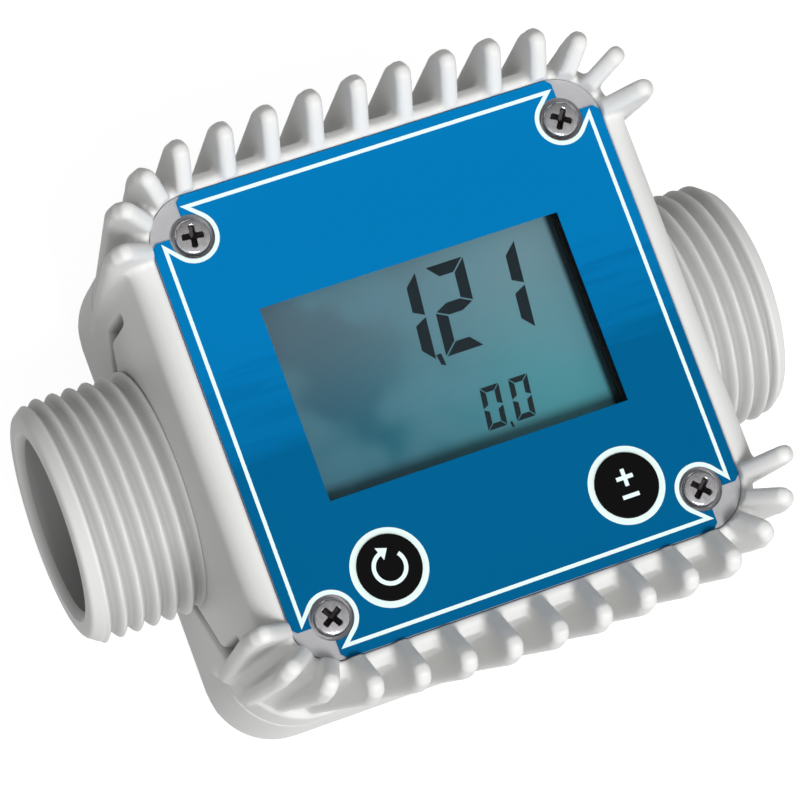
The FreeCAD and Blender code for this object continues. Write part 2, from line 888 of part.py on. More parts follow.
def key_and_switch(name, x):
    """A round key that slides in the plate, over its switch on the board."""
    flange_height = "key_flange_top - key_flange_bottom"
    z = "key_flange_bottom"
    flange = peg(f"{name}_flange", "key_flange_radius", flange_height, x, "key_y", z)
    cap = peg(f"{name}_cap", "key_radius", "key_top - key_flange_bottom", x, "key_y", z, "48")
    node(fuse(f"{name}_button", [flange, cap]), f"{name}_button")

    board_top = "board_bottom + board_thickness"
    side = "switch_side"
    case = box(f"{name}_case", side, side, "switch_height", x, "key_y", board_top)
    height = f"plunger_top - ({board_top})"
    plunger = peg(f"{name}_plunger", "plunger_radius", height, x, "key_y", board_top)
    switch = fuse(f"{name}_switch", [case, plunger])
    node(switch, f"{name}_switch")


# ---------------------------------------------------------------- batteries

def battery(name, y):
    """A round cell that lies along the flow, with its positive nub towards +X."""
    x = "-cell_length / 2"
    z = "cell_height"
    case = along_flow(peg(f"{name}_case", "cell_radius", "cell_length", x, y, z, "36"))
    length = "nub_length + 1"
    nub = along_flow(peg(f"{name}_nub", "nub_radius", length, "cell_length / 2 - 1", y, z, "12"))
    node(fuse(name, [case, nub]), name)


def battery_tray(name, y):
    block = box(f"{name}_block", "tray_length", "tray_width", "tray_height", "0", y, "cavity_floor")
    length = "tray_length - 2 * tray_end"
    radius = "cell_radius + cell_gap"
    x = "-tray_length / 2 + tray_end"
    trough = flow_cylinder(f"{name}_trough", radius, length, x, y, "cell_height")
    node(cut(name, block, trough), name)


def contact(name, x, y):
    side = "contact_side"
    z = "cell_height - contact_side / 2 + contact_lift"
    return box(name, "contact_thickness", side, side, x, y, z)


def battery_contacts():
    """A flat contact at each positive end and a coil at each negative end."""
    inner_end = "tray_length / 2 - tray_end"
    parts = []
    for index, y in enumerate(("-cell_y", "cell_y")):
        nub = "cell_length / 2 + nub_length + contact_thickness / 2"
        parts.append(contact(f"contact_plus_{index}", nub, y))
        plate = contact(f"contact_minus_{index}", f"-({inner_end}) + contact_thickness / 2", y)
        x = f"-({inner_end}) + contact_thickness / 2"
        length = f"{inner_end} - contact_thickness / 2 - cell_length / 2"
        coil = along_flow(peg(f"coil_{index}", "coil_radius", length, x, y, "cell_height"))
        parts.append(fuse(f"contact_coil_{index}", [plate, coil]))
    group = doc.addObject("Part::Compound", "battery_contacts")
    group.Links = parts
    node(group, "battery_contacts")


# ---------------------------------------------------------------- turbine

def flow_end(name, source, sign):
    """A copy of a part of the outlet end, turned round for the inlet when sign is -1."""
    angle = 0 if sign > 0 else 180
    return node(copies(name, source, [moved(0, 0, 0, angle)]), name)


def straightener():
    """Outer ring, four vanes and a hub with a nose that parts the flow."""
    x = "chamber_length / 2"
    z = "axis_height"
    ring = along_flow(peg("ring_outer", "ring_radius", "ring_length", x, "0", z, "48"))
    radius = "ring_radius - ring_wall"
    length = "ring_length + 2"
    hole = along_flow(peg("ring_inner", radius, length, f"{x} - 1", "0", z, "48"))
    band = cut("ring_band", ring, hole)
    length = "hub_outer_end - hub_inner_end"
    hub = along_flow(peg("hub_blank", "hub_radius", length, "hub_inner_end", "0", z))
    doc.recompute()
    nose = doc.addObject("Part::Chamfer", "hub_nose")
    nose.Base = hub
    end = size("hub_outer_end")
    slope = size("nose_length")
    nose.Edges = [
        (index, slope, slope)
        for index, edge in enumerate(hub.Shape.Edges, start=1)
        if abs(edge.BoundBox.XMin - end) < 1e-4 and abs(edge.BoundBox.XMax - end) < 1e-4
    ]
    vanes = []
    for index in range(2):
        x = "chamber_length / 2 + ring_length / 2"
        span = "2 * ring_radius - ring_wall"
        sides = ("vane_thickness", span) if index else (span, "vane_thickness")
        z = f"axis_height - ({sides[1]}) / 2"
        vanes.append(box(f"vane_{index}", "ring_length - 1", sides[0], sides[1], x, "0", z))
    solid = fuse("straightener_solid", [band, nose] + vanes)
    length = "bush_end - hub_inner_end + 1"
    x = "hub_inner_end - 1"
    seat = along_flow(peg("bush_seat", "bush_radius", length, x, "0", "axis_height"))
    return cut("straightener", solid, seat)


def retaining_ring():
    """A spring ring with a gap that grips the bore behind its straightener."""
    x = "retainer_start"
    z = "axis_height"
    height = "retainer_thickness"
    outer = along_flow(peg("retainer_outer", "bore_radius", height, x, "0", z, "48"))
    inner = along_flow(peg("retainer_hole", "retainer_inner", f"{height} + 2", f"{x} - 1", "0", z, "48"))
    gap = box("retainer_slot", "3 * retainer_thickness", "retainer_gap", "bore_radius + 2", x, "0", z)
    opening = fuse("retainer_opening", [inner, gap])
    return cut("retainer", outer, opening)


def bush():
    length = "bush_end - bush_start"
    z = "axis_height"
    outer = along_flow(peg("bush_outer", "bush_radius", length, "bush_start", "0", z))
    hole = along_flow(peg("bush_hole", "bush_bore", f"{length} + 2", "bush_start - 1", "0", z))
    return cut("bush", outer, hole)


def blade():
    """One helical blade, built of flat faces between sections that turn along the flow."""
    length = size("blade_length")
    inner = size("rotor_hub_radius - blade_root")
    half = size("blade_thickness") / 2
    outer = math.sqrt(size("blade_radius") ** 2 - half ** 2)
    steps = 5
    rings = []
    for index in range(steps):
        along = index / (steps - 1) - 0.5
        turn = FreeCAD.Rotation(FreeCAD.Vector(1, 0, 0), size("blade_twist") * along)
        corners = [(-half, inner), (half, inner), (half, outer), (-half, outer)]
        rings.append([turn.multVec(FreeCAD.Vector(along * length, y, z)) for y, z in corners])
    faces = []
    for ring, after in zip(rings, rings[1:]):
        for side in range(4):
            other = (side + 1) % 4
            faces.append((ring[side], ring[other], after[other]))
            faces.append((ring[side], after[other], after[side]))
    for ring in (rings[0], rings[-1]):
        faces.append(tuple(ring))
    shells = [Part.Face(Part.makePolygon(list(face) + [face[0]])) for face in faces]
    shape = Part.Solid(Part.Shell(shells))
    if shape.Volume < 0:
        shape.reverse()
    return shape


def rotor():
    """Hub with helical blades, pressed on its shaft, with a pair of magnets in the hub."""
    length = "rotor_hub_length"
    z = "axis_height"
    hub = along_flow(peg("rotor_hub", "rotor_hub_radius", length, f"-{length} / 2", "0", z, "36"))
    height = size("axis_height")
    count = int(size("blade_count"))
    blades = []
    for index in range(count):
        shape = blade()
        angle = 360 * (index + 0.5) / count
        shape.rotate(FreeCAD.Vector(0, 0, 0), FreeCAD.Vector(1, 0, 0), angle)
        shape.translate(FreeCAD.Vector(0, 0, height))
        blades.append(shape)
    fan = doc.addObject("Part::Feature", "rotor_fan")
    fan.Shape = Part.makeCompound(blades)
    solid = fuse("rotor_solid", [hub, fan])

    length = "rotor_hub_length + 2"
    x = "-rotor_hub_length / 2 - 1"
    radius = "shaft_radius + shaft_fit"
    hole = along_flow(peg("rotor_hole", radius, length, x, "0", "axis_height"))
    wells = []
    magnets = []
    for index, sign in enumerate(("+", "-")):
        start = "magnet_start" if sign == "+" else "(magnet_start + magnet_length)"
        z = f"axis_height {sign} {start}"
        name = f"magnet_{index}"
        magnets.append(peg(name, "magnet_radius", "magnet_length", "0", "0", z))
        depth = "magnet_length + magnet_depth"
        z = z if sign == "+" else f"{z} - magnet_depth"
        radius = "magnet_radius + magnet_fit"
        wells.append(peg(f"magnet_well_{index}", radius, depth, "0", "0", z))
    cuts = fuse("rotor_cuts", [hole] + wells)
    node(cut("rotor", solid, cuts), "rotor")

    pair = doc.addObject("Part::Compound", "rotor_magnets")
    pair.Links = magnets
    node(pair, "rotor_magnets")
    x = "-shaft_length / 2"
    shaft = flow_cylinder("rotor_shaft", "shaft_radius", "shaft_length", x, "0", "axis_height")
    node(shaft, "rotor_shaft")


# ---------------------------------------------------------------- assembly

def build():
    main_body()
    flow_tube()
    rear_cover()
    rear_gasket()
    front_seal()
    cover_plate()
    printed_film()
    screws()
    display()
    circuit_board()
    pickup_sensor()
    key_and_switch("reset", "-key_x")
    key_and_switch("cal", "key_x")
    for index, y in enumerate(("-cell_y", "cell_y"), start=1):
        battery(f"battery_{index}", y)
        battery_tray(f"battery_tray_{index}", y)
    battery_contacts()
    outlet = straightener()
    ring = retaining_ring()
    bearing = bush()
    for name, sign in (("inlet", -1), ("outlet", 1)):
        flow_end(f"{name}_straightener", outlet, sign)
        flow_end(f"{name}_retaining_ring", ring, sign)
        flow_end(f"{name}_bush", bearing, sign)
    rotor()
    doc.recompute()


def check():
    """Every object has to be computed, and every sub-part a set of valid solids."""
    for item in doc.Objects:
        for word in ("Invalid", "Error"):
            if word in item.State:
                raise ValueError(f"{item.Name} is {item.State}")
    for item in NODES:
        shape = item.Shape
        if shape.isNull() or not shape.isValid() or not shape.Solids:
            raise ValueError(f"{item.Label} has no valid solid")


def export():
    os.makedirs("parts", exist_ok=True)
    for item in NODES:
        item.Shape.exportStep(f"parts/{item.Label}.step")
        limits = item.Shape.BoundBox
        low = [round(value, 2) for value in (limits.XMin, limits.YMin, limits.ZMin)]
        high = [round(value, 2) for value in (limits.XMax, limits.YMax, limits.ZMax)]
        print(item.Label, len(item.Shape.Solids), round(item.Shape.Volume, 1), low, high)


build()
check()
export()
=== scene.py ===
import bpy
import bmesh
import json
import math
from mathutils import Matrix, Vector


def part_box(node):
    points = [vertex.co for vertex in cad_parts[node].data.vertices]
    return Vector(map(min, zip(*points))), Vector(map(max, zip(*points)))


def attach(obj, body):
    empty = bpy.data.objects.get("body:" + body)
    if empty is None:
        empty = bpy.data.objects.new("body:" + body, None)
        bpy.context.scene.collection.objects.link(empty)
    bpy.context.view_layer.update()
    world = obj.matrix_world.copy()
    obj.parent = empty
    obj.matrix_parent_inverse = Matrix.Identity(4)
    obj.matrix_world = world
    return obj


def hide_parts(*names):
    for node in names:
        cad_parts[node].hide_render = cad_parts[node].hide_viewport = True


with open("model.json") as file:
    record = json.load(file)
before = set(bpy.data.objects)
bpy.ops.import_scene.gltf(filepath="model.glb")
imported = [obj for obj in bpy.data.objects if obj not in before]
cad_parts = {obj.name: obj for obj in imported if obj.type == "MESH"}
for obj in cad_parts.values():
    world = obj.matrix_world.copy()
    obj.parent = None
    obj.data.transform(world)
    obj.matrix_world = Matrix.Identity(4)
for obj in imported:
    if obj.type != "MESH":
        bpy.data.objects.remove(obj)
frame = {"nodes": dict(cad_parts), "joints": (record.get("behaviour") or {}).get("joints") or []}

MM = 0.001
PIPE_AXIS = next(joint["pos_m"][2] for joint in frame["joints"] if joint["name"] == "turbine_spin")
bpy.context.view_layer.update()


def box_mm(node):
    """The low and high corners of a node's box, in millimetres."""
    low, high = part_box(node)
    return Vector(low) / MM, Vector(high) / MM


# ---------------------------------------------------------------- nodes of a material

def node_shader(name):
    """A new material, its node tree and its principled shader."""
    material = bpy.data.materials.new(name)
    material.use_nodes = True
    return material, material.node_tree, material.node_tree.nodes["Principled BSDF"]


def linear(red, green, blue):
    """A display colour from 0 to 255 as a linear colour."""
    def channel(value):
        value /= 255
        return value / 12.92 if value <= 0.04045 else ((value + 0.055) / 1.055) ** 2.4
    return (channel(red), channel(green), channel(blue), 1)


def position(tree):
    """Object coordinates in millimetres as a vector output."""
    coordinates = tree.nodes.new("ShaderNodeTexCoord")
    scale = tree.nodes.new("ShaderNodeVectorMath")
    scale.operation = "SCALE"
    scale.inputs["Scale"].default_value = 1 / MM
    tree.links.new(coordinates.outputs["Object"], scale.inputs[0])
    return scale.outputs["Vector"]


def on_front(tree, where):
    """The x and y of a position, which lie along and up the front."""
    split = tree.nodes.new("ShaderNodeSeparateXYZ")
    tree.links.new(where, split.inputs[0])
    return split.outputs["X"], split.outputs["Y"]


def noise(tree, where, scale, detail=3.0):
    """Soft noise from 0 to 1. A larger scale makes it finer."""
    texture = tree.nodes.new("ShaderNodeTexNoise")
    texture.inputs["Scale"].default_value = scale
    texture.inputs["Detail"].default_value = detail
    tree.links.new(where, texture.inputs["Vector"])
    return texture.outputs["Fac"]


def math_node(tree, operation, first, second=None, third=None, clamp=False):
    """The result of an operation on up to three values, each a number or a node's output."""
    item = tree.nodes.new("ShaderNodeMath")
    item.operation = operation
    item.use_clamp = clamp
    for place, value in enumerate((first, second, third)):
        if value is None:
            continue
        if isinstance(value, (int, float)):
            item.inputs[place].default_value = value
        else:
            tree.links.new(value, item.inputs[place])
    return item.outputs["Value"]


def ramp(tree, factor, start, end):
    """A smooth step that is 0 where the factor is start and 1 where it is end."""
    item = tree.nodes.new("ShaderNodeMapRange")
    item.interpolation_type = "SMOOTHSTEP"
    item.inputs["From Min"].default_value = start
    item.inputs["From Max"].default_value = end
    tree.links.new(factor, item.inputs["Value"])
    return item.outputs["Result"]


def mix_colour(tree, factor, first, second):
    """The first colour where the factor is 0 and the second where it is 1."""
    item = tree.nodes.new("ShaderNodeMix")
    item.data_type = "RGBA"
    # a mix node has sockets for numbers and vectors ahead of those for colours
    for socket, value in ((item.inputs[0], factor), (item.inputs[6], first), (item.inputs[7], second)):
        if isinstance(value, (int, float, tuple)):
            socket.default_value = value
        else:
            tree.links.new(value, socket)
    return item.outputs[2]


def stored_value(tree, name):
    """The number that store_values gave each corner point, as an output."""
    item = tree.nodes.new("ShaderNodeAttribute")
    item.attribute_name = name
    return item.outputs["Fac"]


# ---------------------------------------------------------------- materials

CLOUD_SCALE = 0.09
ROUGHNESS_SPREAD = 0.12
GRAIN_DEPTH = 0.02
BEVEL_SAMPLES = 4


def plain(name, colour, roughness=0.5, metallic=0.0, grain=0.0, grain_scale=2.0, vary=0.06,
          edge=0.0, shine=0.5):
    """A solid finish whose colour and roughness vary a little.

    It can have a fine grain, and edges that look rounded by a radius of edge in millimetres.
    """
    material, tree, shader = node_shader(name)
    where = position(tree)
    cloud = noise(tree, where, CLOUD_SCALE)
    darker = tuple(channel * (1 - vary) for channel in colour[:3]) + (1,)
    tree.links.new(mix_colour(tree, cloud, darker, colour), shader.inputs["Base Color"])
    lowest = roughness - ROUGHNESS_SPREAD / 2
    rough = math_node(tree, "MULTIPLY_ADD", cloud, ROUGHNESS_SPREAD, lowest)
    tree.links.new(rough, shader.inputs["Roughness"])
    shader.inputs["Metallic"].default_value = metallic
    shader.inputs["Specular IOR Level"].default_value = shine
    normal = None
    if edge:
        bevel = tree.nodes.new("ShaderNodeBevel")
        bevel.samples = BEVEL_SAMPLES
        bevel.inputs["Radius"].default_value = edge * MM
        normal = bevel.outputs["Normal"]
    if grain:
        bump = tree.nodes.new("ShaderNodeBump")
        bump.inputs["Strength"].default_value = grain
        bump.inputs["Distance"].default_value = GRAIN_DEPTH * MM
        tree.links.new(noise(tree, where, grain_scale), bump.inputs["Height"])
        if normal:
            tree.links.new(normal, bump.inputs["Normal"])
        normal = bump.outputs["Normal"]
    if normal:
        tree.links.new(normal, shader.inputs["Normal"])
    return material


def film_finish():
    """The printed blue: light above and deep below, with faint waves across the middle."""
    deep = linear(0, 95, 143)
    light = linear(2, 119, 181)
    wave_blue = linear(0, 92, 146)
    stretch = (0.05, 0.6, 1)
    swell_height = 6
    shore_low, shore_high, shore_share = -1.8, 1.6, 0.55
    rise_low, rise_high, rise_share = -1, 10, 0.45
    band_middle, band_end, band_full = 2, 9, 4
    crest_low, crest_high, crest_share = 0.45, 0.62, 0.3

    material, tree, shader = node_shader("printed_film")
    where = position(tree)
    y = on_front(tree, where)[1]
    flatten = tree.nodes.new("ShaderNodeVectorMath")
    flatten.operation = "MULTIPLY"
    flatten.inputs[1].default_value = stretch
    tree.links.new(where, flatten.inputs[0])
    waves = noise(tree, flatten.outputs["Vector"], scale=1.0, detail=2.0)

    swell = math_node(tree, "MULTIPLY_ADD", waves, swell_height, y)
    shore = ramp(tree, swell, shore_low, shore_high)
    rise = math_node(tree, "MULTIPLY", ramp(tree, y, rise_low, rise_high), rise_share)
    base = mix_colour(tree, math_node(tree, "MULTIPLY_ADD", shore, shore_share, rise), deep, light)

    from_middle = math_node(tree, "ABSOLUTE", math_node(tree, "SUBTRACT", y, band_middle))
    band = ramp(tree, from_middle, band_end, band_full)
    crests = math_node(tree, "MULTIPLY", ramp(tree, waves, crest_low, crest_high), band)
    crests = math_node(tree, "MULTIPLY", crests, crest_share)
    tree.links.new(mix_colour(tree, crests, base, wave_blue), shader.inputs["Base Color"])
    shader.inputs["Roughness"].default_value = 0.35
    shader.inputs["Specular IOR Level"].default_value = 0.02
    return material


def display_finish():
    """Liquid crystal glass: teal below, greyer above, cloudy, with a painted shadow along its right
    edge.
    """
    left_low = linear(28, 96, 116)
    left_high = linear(90, 113, 126)
    # the lower right is lighter, partly the glass's own tone and partly painted light against the
    # shadow of the window's edge
    right_low = linear(82, 152, 162)
    right_high = linear(116, 148, 158)
    cloud_light = linear(104, 148, 162)
    edge_shadow = linear(16, 26, 32)
    bottom, top, side = -10, 13, 16
    cloud_scale, cloud_low, cloud_high, cloud_share = 0.07, 0.42, 0.6, 0.45
    edge_start, edge_full, edge_share = 19.4, 20.3, 0.95

    material, tree, shader = node_shader("display_glass")
    where = position(tree)
    x, y = on_front(tree, where)
    up = ramp(tree, y, bottom, top)
    across = ramp(tree, x, -side, side)
    left = mix_colour(tree, up, left_low, left_high)
    right = mix_colour(tree, up, right_low, right_high)
    base = mix_colour(tree, across, left, right)
    patch = ramp(tree, noise(tree, where, cloud_scale, detail=2.0), cloud_low, cloud_high)
    base = mix_colour(tree, math_node(tree, "MULTIPLY", patch, cloud_share), base, cloud_light)
    # a painted shadow darkens the band along the right edge
    dark = math_node(tree, "MULTIPLY", ramp(tree, x, edge_start, edge_full), edge_share)
    base = mix_colour(tree, dark, base, edge_shadow)
    tree.links.new(base, shader.inputs["Base Color"])
    shader.inputs["Roughness"].default_value = 0.3
    shader.inputs["Specular IOR Level"].default_value = 0.1
    return material


def mix_shaders(tree, factor, first, second):
    """The first shader where the factor is 0 and the second where it is 1."""
    item = tree.nodes.new("ShaderNodeMixShader")
    tree.links.new(factor, item.inputs["Fac"])
    tree.links.new(first, item.inputs[1])
    tree.links.new(second, item.inputs[2])
    return item.outputs["Shader"]


def plate_finish():
    """Moulded plastic that is clear over the display and frosted on the back round it."""
    frost_dark = linear(174, 174, 177)
    frost_light = linear(194, 193, 196)
    clear_tint = (0.96, 0.98, 0.98, 1)
    clear_x, clear_y, blend = 21.5, 15, 1.5
    frost_share, mirror_share, mirror_roughness, mirror_ior = 0.9, 0.35, 0.05, 1.3

    material, tree, shader = node_shader("clear_plate")
    where = position(tree)
    x, y = on_front(tree, where)
    x = math_node(tree, "ABSOLUTE", x)
    y = math_node(tree, "ABSOLUTE", y)
    beside = ramp(tree, x, clear_x, clear_x + blend)
    above = ramp(tree, y, clear_y, clear_y + blend)
    outside = math_node(tree, "MAXIMUM", beside, above)
    frost = mix_colour(tree, noise(tree, where, scale=0.5), frost_dark, frost_light)
    tree.links.new(frost, shader.inputs["Base Color"])
    shader.inputs["Roughness"].default_value = 0.3

    through = tree.nodes.new("ShaderNodeBsdfTransparent")
    through.inputs["Color"].default_value = clear_tint
    mirror = tree.nodes.new("ShaderNodeBsdfGlossy")
    mirror.inputs["Roughness"].default_value = mirror_roughness
    fresnel = tree.nodes.new("ShaderNodeFresnel")
    fresnel.inputs["IOR"].default_value = mirror_ior
    reflected = math_node(tree, "MULTIPLY", fresnel.outputs["Fac"], mirror_share)
    clear = mix_shaders(tree, reflected, through.outputs["BSDF"], mirror.outputs["BSDF"])
    frosted = math_node(tree, "MULTIPLY", outside, frost_share)
    mixed = mix_shaders(tree, frosted, clear, shader.outputs["BSDF"])
    tree.links.new(mixed, tree.nodes["Material Output"].inputs["Surface"])
    return material


def screw_finish():
    """Bright plating, dull in the bottom of the recess and darkened there with painted shade."""
    plating_dark = linear(176, 174, 176)
    plating_light = linear(240, 238, 240)
    recess_shade = linear(52, 49, 50)
    roughness, added_in_recess = 0.14, 0.35

    material, tree, shader = node_shader("bright_steel")
    depth = stored_value(tree, "recess")
    cloud = noise(tree, position(tree), scale=1.2)
    plating = mix_colour(tree, cloud, plating_dark, plating_light)
    # painted shade darkens the plating towards the bottom of the recess
    tree.links.new(mix_colour(tree, depth, plating, recess_shade), shader.inputs["Base Color"])
    rough = math_node(tree, "MULTIPLY_ADD", depth, added_in_recess, roughness)
    tree.links.new(rough, shader.inputs["Roughness"])
    shader.inputs["Metallic"].default_value = 1
    return material


def nylon_finish():
    """Satin moulded nylon, with painted shade darkening the thread roots, the bore and the seams."""
    pale = linear(229, 229, 227)
    painted_shade = linear(100, 102, 102)
    shade_share = 0.55

    material = plain("light_nylon", pale, 0.5, grain=0.2, grain_scale=1.6, vary=0.04, shine=0.3)
    tree = material.node_tree
    colour = tree.nodes["Principled BSDF"].inputs["Base Color"]
    even = colour.links[0].from_socket
    # the stored groove value mixes painted shade into the nylon in the thread roots, the bore and the
    # seams
    share = math_node(tree, "MULTIPLY", stored_value(tree, "groove"), shade_share, clamp=True)
    tree.links.new(mix_colour(tree, share, even, painted_shade), colour)
    return material


FINISH = {
    "light_nylon": nylon_finish(),
    "clear_plate": plate_finish(),
    "printed_film": film_finish(),
    "bright_steel": screw_finish(),
    "seal_rubber": plain("seal_rubber", linear(118, 120, 122), 0.75, grain=0.3, shine=0.2),
    "display_glass": display_finish(),
    "black_plastic": plain("black_plastic", linear(20, 22, 24), 0.5, grain=0.2),
    "board_laminate": plain("board_laminate", linear(24, 92, 58), 0.4, vary=0.15),
    "chip_resin": plain("chip_resin", linear(26, 26, 28), 0.55, grain=0.3, grain_scale=4),
    "key_black": plain("key_black", linear(7, 7, 8), 0.45, edge=0.15, shine=0.06),
    "switch_body": plain("switch_body", linear(48, 48, 50), 0.5),
    "cell_sleeve": plain("cell_sleeve", linear(70, 74, 80), 0.35),
    "contact_metal": plain("contact_metal", linear(205, 200, 188), 0.3, metallic=1.0),
    "clear_glass": plain("clear_glass", linear(150, 170, 168), 0.1),
    "white_acetal": plain("white_acetal", linear(226, 226, 222), 0.42),
    "spring_steel": plain("spring_steel", linear(150, 152, 156), 0.3, metallic=1.0),
    "bush_bronze": plain("bush_bronze", linear(168, 124, 72), 0.4, metallic=1.0),
    "rotor_plastic": plain("rotor_plastic", linear(214, 96, 40), 0.45),
    "shaft_steel": plain("shaft_steel", linear(190, 192, 196), 0.22, metallic=1.0),
    "magnet": plain("magnet", linear(92, 92, 96), 0.35, metallic=1.0),
}
PRINT_WHITE = plain("print_white", linear(232, 250, 247), 0.4, vary=0.02, shine=0.1)
DIGIT_INK = plain("digit_ink", linear(30, 40, 46), 0.4, vary=0.05, shine=0.1)


# ---------------------------------------------------------------- making a piece

def make_piece(name, mesh, material, body="housing"):
    """An object that moves with a body and takes the given material."""
    item = bpy.data.objects.new(name, mesh)
    bpy.context.scene.collection.objects.link(item)
    mesh.materials.append(material)
    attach(item, body)
    return item


def from_faces(name, corners, faces, material, body="housing", smooth=False):
    """A piece from corner points in millimetres and faces."""
    mesh = bpy.data.meshes.new(name)
    mesh.from_pydata([Vector(corner) * MM for corner in corners], [], faces)
    shape = bmesh.new()
    shape.from_mesh(mesh)
    bmesh.ops.recalc_face_normals(shape, faces=shape.faces)
    shape.to_mesh(mesh)
    shape.free()
    for face in mesh.polygons:
        face.use_smooth = smooth
    return make_piece(name, mesh, material, body)


def store_values(mesh, name, values):
    """Gives each corner point of a mesh a number that its material reads by name."""
    mesh.attributes.new(name, "FLOAT", "POINT").data.foreach_set("value", values)


def strips(outers, inners, bottom, top, closed=True):
    """Corners and faces of flat bands, each between an outer and an inner line."""
    corners = []
    faces = []
    for outer, inner in zip(outers, inners):
        first = len(corners)
        count = len(outer)
        for line, height in ((outer, bottom), (outer, top), (inner, top), (inner, bottom)):
            corners.extend((x, y, height) for x, y in line)
        for row in range(4):
            here = first + row * count
            there = first + (row + 1) % 4 * count
            for step in range(count if closed else count - 1):
                after = (step + 1) % count
                faces.append((here + step, here + after, there + after, there + step))
    return corners, faces


def slabs(outlines, bottom, top):
    """Corners and faces of flat filled shapes."""
    corners = []
    faces = []
    for outline in outlines:
        low = len(corners)
        count = len(outline)
        high = low + count
        corners.extend((x, y, bottom) for x, y in outline)
        corners.extend((x, y, top) for x, y in outline)
        faces.append(tuple(range(low, high)))
        faces.append(tuple(range(high, high + count)))
        for step in range(count):
            after = (step + 1) % count
            faces.append((low + step, low + after, high + after, high + step))
    return corners, faces


def arc(centre, radius, start, end, steps):
    """Points of an arc, angles in degrees."""
    points = []
    for step in range(steps + 1):
        angle = math.radians(start + (end - start) * step / steps)
        points.append((centre[0] + radius * math.cos(angle), centre[1] + radius * math.sin(angle)))
    return points


def circle(centre, radius, count):
    """Points of a circle."""
    return arc(centre, radius, 0, 360 - 360 / count, count - 1)


# ---------------------------------------------------------------- housing and tube

def panel_seam(mesh):
    """Sinks the open seam beside each raised side panel, and stores painted shade for it.

    From the front, where it runs out, the seam goes back beside the panel and then turns in
    towards the pipe at 45 degrees.
    """
    wall, half, centre, corner, front = 33.6, 22.2, -1.1, 8.5, 43.0
    width, depth, run_out, seam_shade = 0.7, 2.2, 2.5, 1.8
    values = []
    for point in mesh.vertices:
        x, y, z = point.co / MM
        across = abs(y - centre)
        away = abs(max(across - half, (across - z + corner) / math.sqrt(2)))
        share = max(0, 1 - (away / width) ** 2) * max(0, min(1, (front - z) / run_out))
        if abs(x) < wall:
            share = 0
        point.co.x -= math.copysign(depth * share * MM, x)
        # the stored value darkens the nylon in the seam as painted shade
        values.append(seam_shade * share)
    store_values(mesh, "groove", values)


def apply_modifiers(piece):
    """Makes the shape that a piece's modifiers give its own mesh."""
    bpy.context.view_layer.update()
    evaluated = piece.evaluated_get(bpy.context.evaluated_depsgraph_get())
    shaped = bpy.data.meshes.new_from_object(evaluated)
    piece.modifiers.clear()
    piece.data = shaped


def moulded(node, voxel, kept=0.0, carve=None):
    """A part of the housing with the soft edges and roots of a moulding.

    The solid is remeshed in steps of voxel. That even mesh is given to carve, then smoothed,
    except for points less than kept from the middle in both x and y, and then thinned out.
    """
    smoothing_steps, smoothing, thinned_to = 5, 0.5, 0.3
    mesh = frame["nodes"][node].data.copy()
    mesh.materials.clear()
    piece = make_piece(f"{node}_moulded", mesh, FINISH["light_nylon"])
    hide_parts(node)
    remesh = piece.modifiers.new("even", "REMESH")
    remesh.mode = "VOXEL"
    remesh.voxel_size = voxel * MM
    apply_modifiers(piece)
    if carve:
        carve(piece.data)
    soft = []
    for point in piece.data.vertices:
        if max(abs(point.co.x), abs(point.co.y)) > kept * MM:
            soft.append(point.index)
    piece.vertex_groups.new(name="soft").add(soft, 1.0, "REPLACE")
    smooth = piece.modifiers.new("soften", "SMOOTH")
    smooth.factor = smoothing
    smooth.iterations = smoothing_steps
    smooth.vertex_group = "soft"
    fewer = piece.modifiers.new("fewer", "DECIMATE")
    fewer.ratio = thinned_to
    apply_modifiers(piece)
    piece.data.shade_smooth()


